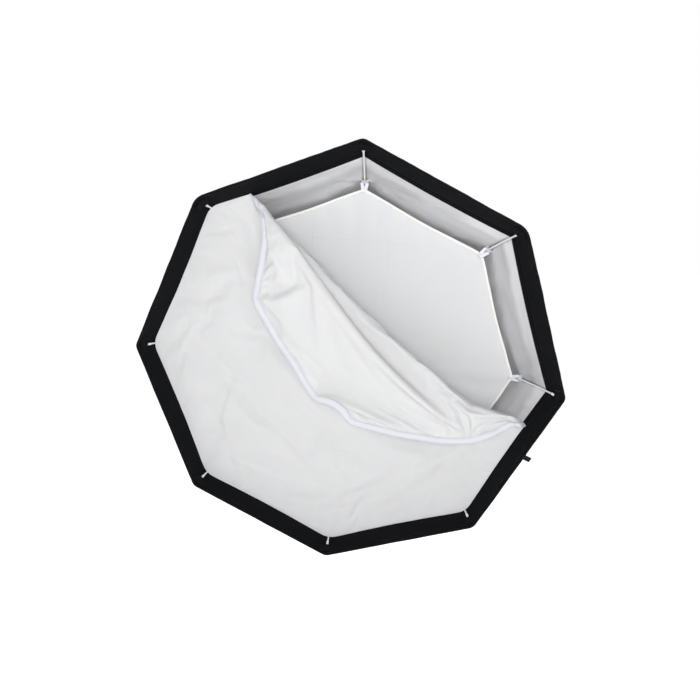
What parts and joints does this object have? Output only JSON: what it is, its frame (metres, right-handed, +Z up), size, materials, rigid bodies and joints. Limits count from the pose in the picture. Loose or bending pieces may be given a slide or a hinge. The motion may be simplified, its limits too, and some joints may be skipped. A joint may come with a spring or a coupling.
{
  "type": "studio softbox",
  "caption": "Octagonal fabric light modifier with bowed rods, inner baffle and half-peeled front diffuser on a rotating bayonet ring.",
  "frame": {"origin": "centre of the bayonet insert, on the seat face that meets the flash head", "axes": "+Y back along the box's axis towards the flash head, so the mouth faces -Y; +Z up through the top corner; +X to the right seen from the front"},
  "size_m": [0.9526, 0.4165, 0.9526],
  "materials": {
    "insert_alloy": "machined, satin",
    "cast_alloy": "black powder coat over cast aluminium",
    "steel_plate": "bright zinc plate",
    "brass_pad": "turned",
    "black_plastic": "moulded, fine grain",
    "clear_nylon": "milky moulded nylon",
    "spring_steel": "drawn spring wire",
    "black_nylon": "coated nylon, slight sheen",
    "black_webbing": "woven tape",
    "silver_lining": "silver coated, soft reflection",
    "white_baffle": "thin woven polyester",
    "white_diffuser": "thin woven polyester",
    "white_tape": "dense woven tape"
  },
  "bodies": {
    "insert": {"bayonet_insert": "insert_alloy"},
    "lock_pad_1_body": {"lock_pad_1": "brass_pad"},
    "lock_screw_1_body": {"lock_screw_1": "steel_plate", "lock_knob_1": "black_plastic"},
    "lock_pad_2_body": {"lock_pad_2": "brass_pad"},
    "lock_screw_2_body": {"lock_screw_2": "steel_plate", "lock_knob_2": "black_plastic"},
    "lock_pad_3_body": {"lock_pad_3": "brass_pad"},
    "lock_screw_3_body": {"lock_screw_3": "steel_plate", "lock_knob_3": "black_plastic"},
    "lock_pad_4_body": {"lock_pad_4": "brass_pad"},
    "lock_screw_4_body": {"lock_screw_4": "steel_plate", "lock_knob_4": "black_plastic"},
    "softbox": {"speedring": "cast_alloy", "retaining_ring": "steel_plate", "retaining_screws": "steel_plate", "rod_sockets": "steel_plate", "rod_1": "spring_steel", "rod_2": "spring_steel", "rod_3": "spring_steel", "rod_4": "spring_steel", "rod_5": "spring_steel", "rod_6": "spring_steel", "rod_7": "spring_steel", "rod_8": "spring_steel", "rod_caps": "clear_nylon", "corner_pockets": "black_webbing", "wall_tabs": "white_tape", "seam_tapes": "black_webbing", "shell_panel_1": "black_nylon", "lining_panel_1": "silver_lining", "shell_panel_2": "black_nylon", "lining_panel_2": "silver_lining", "shell_panel_3": "black_nylon", "lining_panel_3": "silver_lining", "shell_panel_4": "black_nylon", "lining_panel_4": "silver_lining", "shell_panel_5": "black_nylon", "lining_panel_5": "silver_lining", "shell_panel_6": "black_nylon", "lining_panel_6": "silver_lining", "shell_panel_7": "black_nylon", "lining_panel_7": "silver_lining", "shell_panel_8": "black_nylon", "lining_panel_8": "silver_lining", "lip_band": "black_nylon", "loop_tape": "black_webbing", "rim_binding": "black_webbing", "rear_hem": "black_webbing", "size_tag": "black_webbing", "baffle_sheet": "white_baffle", "baffle_binding": "white_tape", "baffle_tabs": "white_tape", "diffuser_sheet": "white_diffuser", "diffuser_hem": "white_tape", "diffuser_flap": "white_diffuser"}
  },
  "joints": [
    {"name": "box_rotation", "type": "hinge", "parent": "insert", "child": "softbox", "pos_m": [0, 0, 0], "axis": [0, 1, 0], "continuous": true},
    {"name": "lock_1_travel", "type": "slide", "parent": "softbox", "child": "lock_pad_1_body", "axis": [-0.3827, 0, 0.9239], "range_m": [0, 0.0021]},
    {"name": "lock_1_turn", "type": "hinge", "parent": "lock_pad_1_body", "child": "lock_screw_1_body", "pos_m": [-0.0253, -0.0065, 0.06107], "axis": [-0.3827, 0, 0.9239], "range_deg": [0, 1080]},
    {"name": "lock_2_travel", "type": "slide", "parent": "softbox", "child": "lock_pad_2_body", "axis": [0.9239, 0, 0.3827], "range_m": [0, 0.0021]},
    {"name": "lock_2_turn", "type": "hinge", "parent": "lock_pad_2_body", "child": "lock_screw_2_body", "pos_m": [0.06107, -0.0065, 0.0253], "axis": [0.9239, 0, 0.3827], "range_deg": [0, 1080]},
    {"name": "lock_3_travel", "type": "slide", "parent": "softbox", "child": "lock_pad_3_body", "axis": [0.3827, 0, -0.9239], "range_m": [0, 0.0021]},
    {"name": "lock_3_turn", "type": "hinge", "parent": "lock_pad_3_body", "child": "lock_screw_3_body", "pos_m": [0.0253, -0.0065, -0.06107], "axis": [0.3827, 0, -0.9239], "range_deg": [0, 1080]},
    {"name": "lock_4_travel", "type": "slide", "parent": "softbox", "child": "lock_pad_4_body", "axis": [-0.9239, 0, -0.3827], "range_m": [0, 0.0021]},
    {"name": "lock_4_turn", "type": "hinge", "parent": "lock_pad_4_body", "child": "lock_screw_4_body", "pos_m": [-0.06107, -0.0065, -0.0253], "axis": [-0.9239, 0, -0.3827], "range_deg": [0, 1080]}
  ],
  "couplings": [
    {"joint": "lock_1_turn", "follows": "lock_1_travel", "rad_per_m": 8976},
    {"joint": "lock_2_turn", "follows": "lock_2_travel", "rad_per_m": 8976},
    {"joint": "lock_3_turn", "follows": "lock_3_travel", "rad_per_m": 8976},
    {"joint": "lock_4_turn", "follows": "lock_4_travel", "rad_per_m": 8976}
  ]
}
